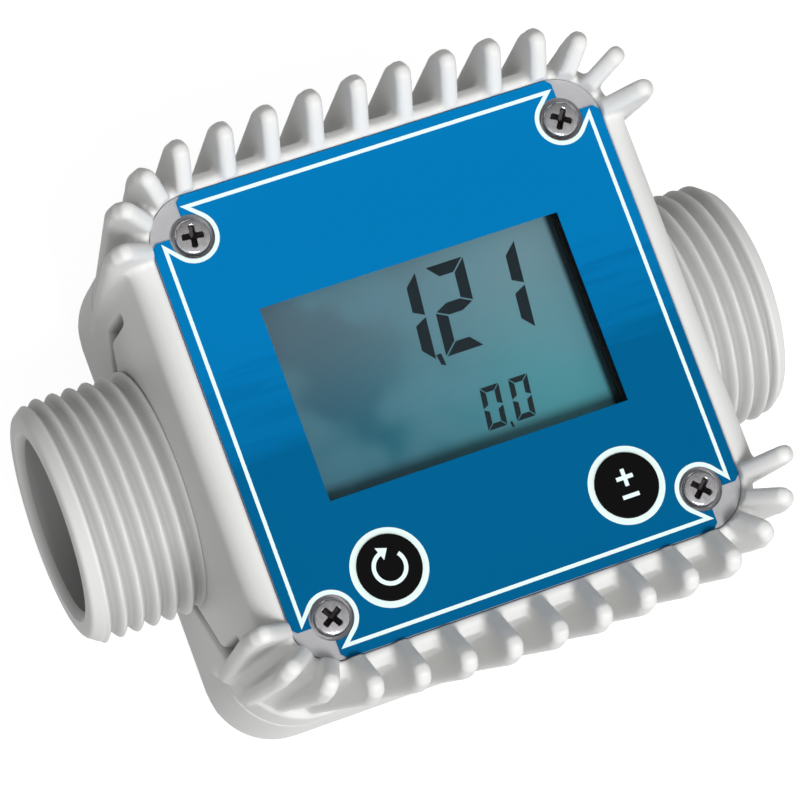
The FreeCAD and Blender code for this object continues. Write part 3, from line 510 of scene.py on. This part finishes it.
def threaded_tube():
    """The tube with rounded pipe threads on both ends, in place of the plain one."""
    low, high = box_mm("flow_tube")
    end = high.x
    crest = (high.z - low.z) / 2
    neck, bore, mouth = 15.0, 12.0, 1
    chamber, chamber_end = 11.4, 14.2
    pitch, depth, flank_power, run_out = 2.31, 1.15, 0.8, 34.56
    plain_end, fade_in, rounding = 1.5, 0.8, 0.35
    chamfer, chamfer_length = 1.5, 2.1
    spokes, rows_per_turn = 160, 14

    def thread(x, turn):
        """The radius of the outside, and how deep it is in a groove, from 0 to 1."""
        reach = end - abs(x)
        lead = crest - chamfer * max(0, 1 - reach / chamfer_length)
        lead -= rounding * max(0, 1 - reach / rounding) ** 2
        fade = max(0, min(1, (reach - plain_end) / fade_in))
        wave = (x / pitch + turn) % 1
        groove = fade * (0.5 - 0.5 * math.cos(2 * math.pi * wave)) ** flank_power
        return lead - depth * groove, groove

    # a closed line along the outside and back through the bore, with no radius where the thread is
    length = end - run_out
    rows = int(length / pitch * rows_per_turn)
    along = [length * row / rows for row in range(rows + 1)]
    stations = [(-end + step, None) for step in along]
    stations += [(-run_out, neck), (run_out, neck)]
    stations += [(run_out + step, None) for step in along]
    stations += [
        (end, bore + mouth), (end - mouth, bore), (chamber_end, bore), (chamber_end, chamber),
        (-chamber_end, chamber), (-chamber_end, bore), (-end + mouth, bore), (-end, bore + mouth),
    ]
    corners = []
    faces = []
    grooves = []
    for x, radius in stations:
        for spoke in range(spokes):
            turn = spoke / spokes
            angle = 2 * math.pi * turn
            # the bore's rows get a groove value of 1, so the nylon paints shade into the bore as into
            # the thread roots
            out, groove = thread(x, turn) if radius is None else (radius, float(radius <= bore))
            grooves.append(groove)
            corners.append((x, out * math.sin(angle), PIPE_AXIS / MM + out * math.cos(angle)))
    for row in range(len(stations)):
        here = row * spokes
        there = (row + 1) % len(stations) * spokes
        for spoke in range(spokes):
            after = (spoke + 1) % spokes
            faces.append((here + spoke, here + after, there + after, there + spoke))
    nylon = FINISH["light_nylon"]
    piece = from_faces("threaded_tube", corners, faces, nylon, smooth=True)
    piece.data.set_sharp_from_angle(angle=math.radians(40))
    # the stored groove values darken the nylon with painted shade
    store_values(piece.data, "groove", grooves)
    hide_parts("flow_tube")


# ---------------------------------------------------------------- display, print and keys

FILM_TOP = box_mm("printed_film")[1].z
GLASS_TOP = box_mm("lcd_glass")[1].z
PRINT_HEIGHT = 0.03
PLAIN_HEAD_RADIUS = 2.45  # of the solid screws
SCREW_AT = box_mm("cover_screws")[1].x - PLAIN_HEAD_RADIUS


def display_bezel():
    """The display's frame, its mouth opened further above the glass, where no lip shows."""
    window_top, mouth_top, opened = 13.0, 15.5, 1.1
    lip_foot = GLASS_TOP - 0.05
    mesh = frame["nodes"]["lcd_frame"].data.copy()
    mesh.materials.clear()
    for point in mesh.vertices:
        if point.co.z / MM > lip_foot and window_top < point.co.y / MM < mouth_top:
            point.co.y += opened * MM
    piece = make_piece("display_bezel", mesh, FINISH["black_plastic"])
    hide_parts("lcd_frame")


def border_line():
    """The white line round the print, which runs in round each screw from two sharp cusps."""
    edge, loop_radius, cusp_back = 29.4, 3.15, 0.4
    line_width, cusp_width, sharpest, loop_steps = 0.58, 0.5, 0.35, 28
    cusp = (-cusp_back, edge - SCREW_AT)
    reach = math.hypot(*cusp)
    start = math.degrees(math.atan2(cusp[1], cusp[0]) + math.acos(loop_radius / reach))
    # the second half mirrors the first in the front's diagonal, at 45 degrees
    loop = arc((0, 0), loop_radius, start, 360 + 90 - start, loop_steps)
    quarter = [cusp] + loop + [(cusp[1], cusp[0])]
    path = []
    for sign_x, sign_y in ((1, 1), (1, -1), (-1, -1), (-1, 1)):
        local = [(sign_x * (SCREW_AT + x), sign_y * (SCREW_AT + y)) for x, y in quarter]
        if sign_x * sign_y < 0:
            local.reverse()
        path.extend(local)

    outer = []
    inner = []
    for index, (x, y) in enumerate(path):
        here = Vector((x, y))
        into = (here - Vector(path[index - 1])).normalized()
        out_of = (Vector(path[(index + 1) % len(path)]) - here).normalized()
        across = Vector((-into.y, into.x))
        side = Vector((-into.y - out_of.y, into.x + out_of.x)).normalized()
        at_cusp = index % len(quarter) in (0, len(quarter) - 1)
        width = cusp_width if at_cusp else line_width
        half = width / 2 / max(sharpest, abs(side.dot(across)))
        outer.append((x + side.x * half, y + side.y * half))
        inner.append((x - side.x * half, y - side.y * half))
    corners, faces = strips([outer], [inner], FILM_TOP, FILM_TOP + PRINT_HEIGHT)
    from_faces("border_line", corners, faces, PRINT_WHITE)


def key_face(key):
    """The middle of a key's face, in millimetres."""
    low, high = box_mm(f"{key}_button")
    return (low.x + high.x) / 2, (low.y + high.y) / 2, high.z


def key_rings():
    """The white ring printed round each key."""
    outer_radius, inner_radius, points = 5.1, 4.26, 60
    places = [key_face(key)[:2] for key in ("reset", "cal")]
    outers = [circle(place, outer_radius, points) for place in places]
    inners = [circle(place, inner_radius, points) for place in places]
    corners, faces = strips(outers, inners, FILM_TOP, FILM_TOP + PRINT_HEIGHT)
    from_faces("key_rings", corners, faces, PRINT_WHITE)


def reset_sign():
    """A round arrow printed on the reset key."""
    start, end, steps = 110, 400, 36
    inner_radius, outer_radius = 1.8, 2.35
    head_length, head_half = 1.25, 0.95
    x, y, top = key_face("reset")
    outer = arc((x, y), outer_radius, start, end, steps)
    inner = arc((x, y), inner_radius, start, end, steps)
    corners, faces = strips([outer], [inner], top, top + PRINT_HEIGHT, closed=False)

    angle = math.radians(start)
    out = Vector((math.cos(angle), math.sin(angle)))
    along = Vector((math.sin(angle), -math.cos(angle)))
    foot = Vector((x, y)) + out * (inner_radius + outer_radius) / 2
    head = [foot + along * head_length, foot + out * head_half, foot - out * head_half]
    head_corners, head_faces = slabs([head], top, top + PRINT_HEIGHT)
    first = len(corners)
    faces += [tuple(index + first for index in face) for face in head_faces]
    from_faces("reset_sign", corners + head_corners, faces, PRINT_WHITE, "reset_key")


def cal_sign():
    """A plus over a minus printed on the other key."""
    arm, half = 1.15, 0.27
    plus_up, minus_down = 1.0, 1.45
    x, y, top = key_face("cal")
    end_of_arm = [(-half, arm), (half, arm), (half, half)]
    plus = []
    for _ in range(4):
        plus += [(x + across, y + plus_up + up) for across, up in end_of_arm]
        end_of_arm = [(up, -across) for across, up in end_of_arm]
    bar = [(-arm, half), (arm, half), (arm, -half), (-arm, -half)]
    minus = [(x + across, y - minus_down + up) for across, up in bar]
    corners, faces = slabs([plus, minus], top, top + PRINT_HEIGHT)
    from_faces("cal_sign", corners, faces, PRINT_WHITE, "cal_key")


LARGE_DIGIT = {"width": 5.3, "height": 11.7, "stroke": 1.55, "slant": 0.115, "gap": 0.14}
SMALL_DIGIT = {"width": 2.65, "height": 5.5, "stroke": 0.72, "slant": 0.14, "gap": 0.08}
SEGMENTS = {"0": "abcdef", "1": "bc", "2": "abged"}


def digit(character, right, bottom, width, height, stroke, slant, gap):
    """Outlines of the bars of one seven-segment digit, lettered as usual from the top bar."""
    half = height / 2
    cut = stroke * 0.5
    level_in, level_out = stroke + gap, width - stroke - gap
    bars = {
        "a": [(gap, height), (width - gap, height), (level_out, height - stroke),
              (level_in, height - stroke)],
        "d": [(gap, 0), (width - gap, 0), (level_out, stroke), (level_in, stroke)],
        "g": [(gap, half), (level_in, half + cut), (level_out, half + cut),
              (width - gap, half), (level_out, half - cut), (level_in, half - cut)],
        "b": [(width, height - gap), (width, half + gap), (width - stroke, half + cut + gap),
              (width - stroke, height - stroke - gap)],
        "c": [(width, half - gap), (width, gap), (width - stroke, stroke + gap),
              (width - stroke, half - cut - gap)],
        "e": [(0, half - gap), (0, gap), (stroke, stroke + gap), (stroke, half - cut - gap)],
        "f": [(0, height - gap), (0, half + gap), (stroke, half + cut + gap),
              (stroke, height - stroke - gap)],
    }
    outlines = []
    for bar in SEGMENTS[character]:
        outlines.append([(right - width + x + slant * y, bottom + y) for x, y in bars[bar]])
    return outlines


def comma(left, middle, size):
    """Outline of a decimal comma, whose tail points down and to the right."""
    shape = ((0, 1), (0.62, 1), (0.75, -0.5), (0.2, -0.3))
    return [(left + x * size, middle + y * size) for x, y in shape]


def display_digits():
    """A plain number on each line of the display."""
    large_bottom, small_bottom = 1.35, -9.4
    outlines = []
    for character, right in (("1", -0.3), ("2", 6.4), ("1", 13.6)):
        outlines += digit(character, right, large_bottom, **LARGE_DIGIT)
    outlines.append(comma(left=-0.1, middle=0.9, size=1.1))
    for right in (5.55, 9.55):
        outlines += digit("0", right, small_bottom, **SMALL_DIGIT)
    outlines.append(comma(left=5.95, middle=-9.7, size=0.55))
    corners, faces = slabs(outlines, GLASS_TOP, GLASS_TOP + PRINT_HEIGHT)
    from_faces("display_digits", corners, faces, DIGIT_INK)


# ---------------------------------------------------------------- screws

HEAD_RADIUS = 2.4
HEAD_HEIGHT = 1.7
SHANK_RADIUS = 1.5
SHANK_PITCH = 0.8


def head_surface(x, y):
    """The height of a domed screw head at a place, and how deep that is in its cross recess."""
    rim, rim_foot, rim_rise = 0.93, 0.62, 0.2
    dome_foot, dome_rise, dome_width = 0.82, 0.18, 1.02
    cross_turn = math.radians(20)
    arm, half = 0.6 * HEAD_RADIUS, 0.15 * HEAD_RADIUS
    end_slope, side_slope = 0.12, 0.07
    recess_depth, deepest, taper = 0.62, 1.15, 0.75

    out = math.hypot(x, y) / HEAD_RADIUS
    if out > rim:
        drop = (out - rim) / (1 - rim)
        level = rim_foot + rim_rise * math.sqrt(max(0, 1 - drop ** 2))
    else:
        level = dome_foot + dome_rise * math.sqrt(max(0, 1 - (out / dome_width) ** 2))
    u = abs(x * math.cos(cross_turn) + y * math.sin(cross_turn))
    v = abs(-x * math.sin(cross_turn) + y * math.cos(cross_turn))
    along, across = max(u, v), min(u, v)
    sunk = max(0, min(1, (arm - along) / end_slope, (half - across) / side_slope))
    level -= sunk * recess_depth * (deepest - taper * along / arm)
    return HEAD_HEIGHT * level, sunk


def screw_head():
    """Corners, faces and recess depths of a head that stands on z = 0."""
    rings, spokes = 22, 72
    places = [(0, 0)]
    for ring in range(1, rings + 1):
        places += circle((0, 0), HEAD_RADIUS * ring / rings, spokes)
    corners = []
    recess = []
    for x, y in places:
        top, sunk = head_surface(x, y)
        corners.append((x, y, top))
        recess.append(sunk)
    corners += [(x, y, 0) for x, y in circle((0, 0), HEAD_RADIUS, spokes)]
    recess += [0] * spokes
    faces = []
    for spoke in range(spokes):
        after = (spoke + 1) % spokes
        faces.append((0, 1 + spoke, 1 + after))
        for ring in range(rings):
            here = 1 + ring * spokes
            there = here + spokes
            faces.append((here + spoke, there + spoke, there + after, here + after))
    last = 1 + rings * spokes
    faces.append(tuple(last + spoke for spoke in range(spokes)))
    return corners, faces, recess


def threaded_shank(length):
    """Corners, faces and recess depths of a ridged shank that hangs below z = 0."""
    spokes, rows_per_turn, thread_share = 20, 4, 0.16
    corners = []
    faces = []
    rows = round(length / SHANK_PITCH * rows_per_turn)
    for row in range(rows + 1):
        depth = length * row / rows
        for spoke in range(spokes):
            angle = 2 * math.pi * spoke / spokes
            phase = (depth / SHANK_PITCH - spoke / spokes) % 1
            out = SHANK_RADIUS * (1 - thread_share * abs(2 * phase - 1))
            corners.append((out * math.cos(angle), out * math.sin(angle), -depth))
    for row in range(rows):
        here = row * spokes
        there = here + spokes
        for spoke in range(spokes):
            after = (spoke + 1) % spokes
            faces.append((here + spoke, here + after, there + after, there + spoke))
    faces.append(tuple(range(spokes)))
    faces.append(tuple(rows * spokes + spoke for spoke in range(spokes)))
    return corners, faces, [0] * len(corners)


def phillips_screws(name, node, sign):
    """Four screws in place of a node's plain ones, facing +Z or, with sign -1, -Z."""
    low, high = box_mm(node)
    seat = high.z - HEAD_HEIGHT if sign > 0 else low.z + HEAD_HEIGHT
    sections = (screw_head(), threaded_shank(high.z - low.z - HEAD_HEIGHT))
    turns = {(-1, -1): 12, (-1, 1): 62, (1, -1): 24, (1, 1): 38}
    corners = []
    faces = []
    recess = []
    for (side_x, side_y), turn in turns.items():
        spin = Matrix.Rotation(math.radians(turn), 3, "Z")
        for section_corners, section_faces, section_recess in sections:
            first = len(corners)
            recess += section_recess
            for corner in section_corners:
                x, y, z = spin @ Vector(corner)
                corners.append((x + side_x * SCREW_AT, y + side_y * SCREW_AT, seat + sign * z))
            faces.extend(tuple(index + first for index in face) for face in section_faces)
    steel = FINISH["bright_steel"]
    piece = from_faces(name, corners, faces, steel, smooth=True)
    piece.data.set_sharp_from_angle(angle=math.radians(45))
    store_values(piece.data, "recess", recess)
    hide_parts(node)


# ---------------------------------------------------------------- stage

def make_camera():
    """The photograph's viewing angle: a long lens in front, to the left and a little below."""
    tilt = Matrix.Rotation(math.radians(-7.07), 3, "X")
    pan = Matrix.Rotation(math.radians(14.75), 3, "Y")
    roll = Matrix.Rotation(math.radians(18.52), 3, "Z")
    to_world = (roll @ pan @ tilt).transposed()
    # the middle of the pipe's axis in the camera's own axes
    middle_seen = Vector((0.1, -1.3, -530.9)) * MM
    place = to_world.to_4x4()
    place.translation = Vector((0, 0, PIPE_AXIS)) - to_world @ middle_seen

    camera_data = bpy.data.cameras.new("camera")
    camera_data.lens = 178.56
    camera_data.sensor_width = 36
    camera_data.clip_start = 0.01
    camera_data.clip_end = 20
    camera = bpy.data.objects.new("camera", camera_data)
    camera.matrix_world = place
    bpy.context.scene.collection.objects.link(camera)
    bpy.context.scene.camera = camera


def seen_directly(tree):
    """1 for rays from the camera and for those that metal and glass send on, 0 for light."""
    path = tree.nodes.new("ShaderNodeLightPath")
    total = math_node(tree, "ADD", path.outputs["Is Camera Ray"], path.outputs["Is Glossy Ray"])
    return math_node(tree, "ADD", total, path.outputs["Is Transmission Ray"], clamp=True)


def make_floor():
    """A white floor that keeps the object's shadow and sends little light back up."""
    side, white = 3, 0.92
    mesh = bpy.data.meshes.new("floor")
    corners = [(-side, -side, 0), (side, -side, 0), (side, side, 0), (-side, side, 0)]
    mesh.from_pydata(corners, [], [(0, 1, 2, 3)])
    floor = bpy.data.objects.new("floor", mesh)
    bpy.context.scene.collection.objects.link(floor)
    material, tree, shader = node_shader("floor_white")
    shader.inputs["Base Color"].default_value = (0.22, 0.22, 0.22, 1)
    shader.inputs["Roughness"].default_value = 0.9
    shader.inputs["Specular IOR Level"].default_value = 0
    shader.inputs["Emission Color"].default_value = (1, 1, 1, 1)
    glow = math_node(tree, "MULTIPLY", seen_directly(tree), white)
    tree.links.new(glow, shader.inputs["Emission Strength"])
    floor.data.materials.append(material)


def make_world():
    """White light from all round, strongest from the front and from below the display."""
    brightest = Vector((0, -0.85, 0.5)).normalized()
    average, swing, least = 0.24, 0.66, 0.09
    world = bpy.data.worlds.new("studio")
    bpy.context.scene.world = world
    world.use_nodes = True
    tree = world.node_tree
    coordinates = tree.nodes.new("ShaderNodeTexCoord")
    aim = tree.nodes.new("ShaderNodeVectorMath")
    aim.operation = "DOT_PRODUCT"
    aim.inputs[1].default_value = brightest
    tree.links.new(coordinates.outputs["Generated"], aim.inputs[0])
    level = math_node(tree, "MULTIPLY_ADD", aim.outputs["Value"], swing, average)
    level = math_node(tree, "MAXIMUM", level, least)
    background = tree.nodes["Background"]
    background.inputs["Color"].default_value = (1, 1, 1, 1)
    tree.links.new(level, background.inputs["Strength"])


def make_lamp(name, place, power, side):
    """A square lamp at a place in metres, aimed at the object."""
    lamp_data = bpy.data.lights.new(name, "AREA")
    lamp_data.energy = power
    lamp_data.size = side
    lamp = bpy.data.objects.new(name, lamp_data)
    bpy.context.scene.collection.objects.link(lamp)
    lamp.location = place
    lamp.rotation_euler = (-Vector(place)).to_track_quat("-Z", "Y").to_euler()


make_camera()
make_floor()
make_world()
make_lamp("key", (0.02, -0.44, 0.88), power=5.8, side=0.3)
make_lamp("left", (-0.8, -0.3, 0.4), power=0.15, side=0.4)
make_lamp("behind", (0.0, 1.1, 0.12), power=1.0, side=0.3)
bpy.context.scene.view_settings.view_transform = "Standard"

for node in frame["nodes"].values():
    slot = node.data.materials[0].name
    node.data.materials.clear()
    node.data.materials.append(FINISH[slot])

moulded("main_body", 0.35, kept=31.3, carve=panel_seam)
moulded("rear_cover", 0.5)
threaded_tube()
display_bezel()
border_line()
key_rings()
reset_sign()
cal_sign()
display_digits()
phillips_screws("front_screws", "cover_screws", sign=1)
phillips_screws("back_screws", "rear_screws", sign=-1)
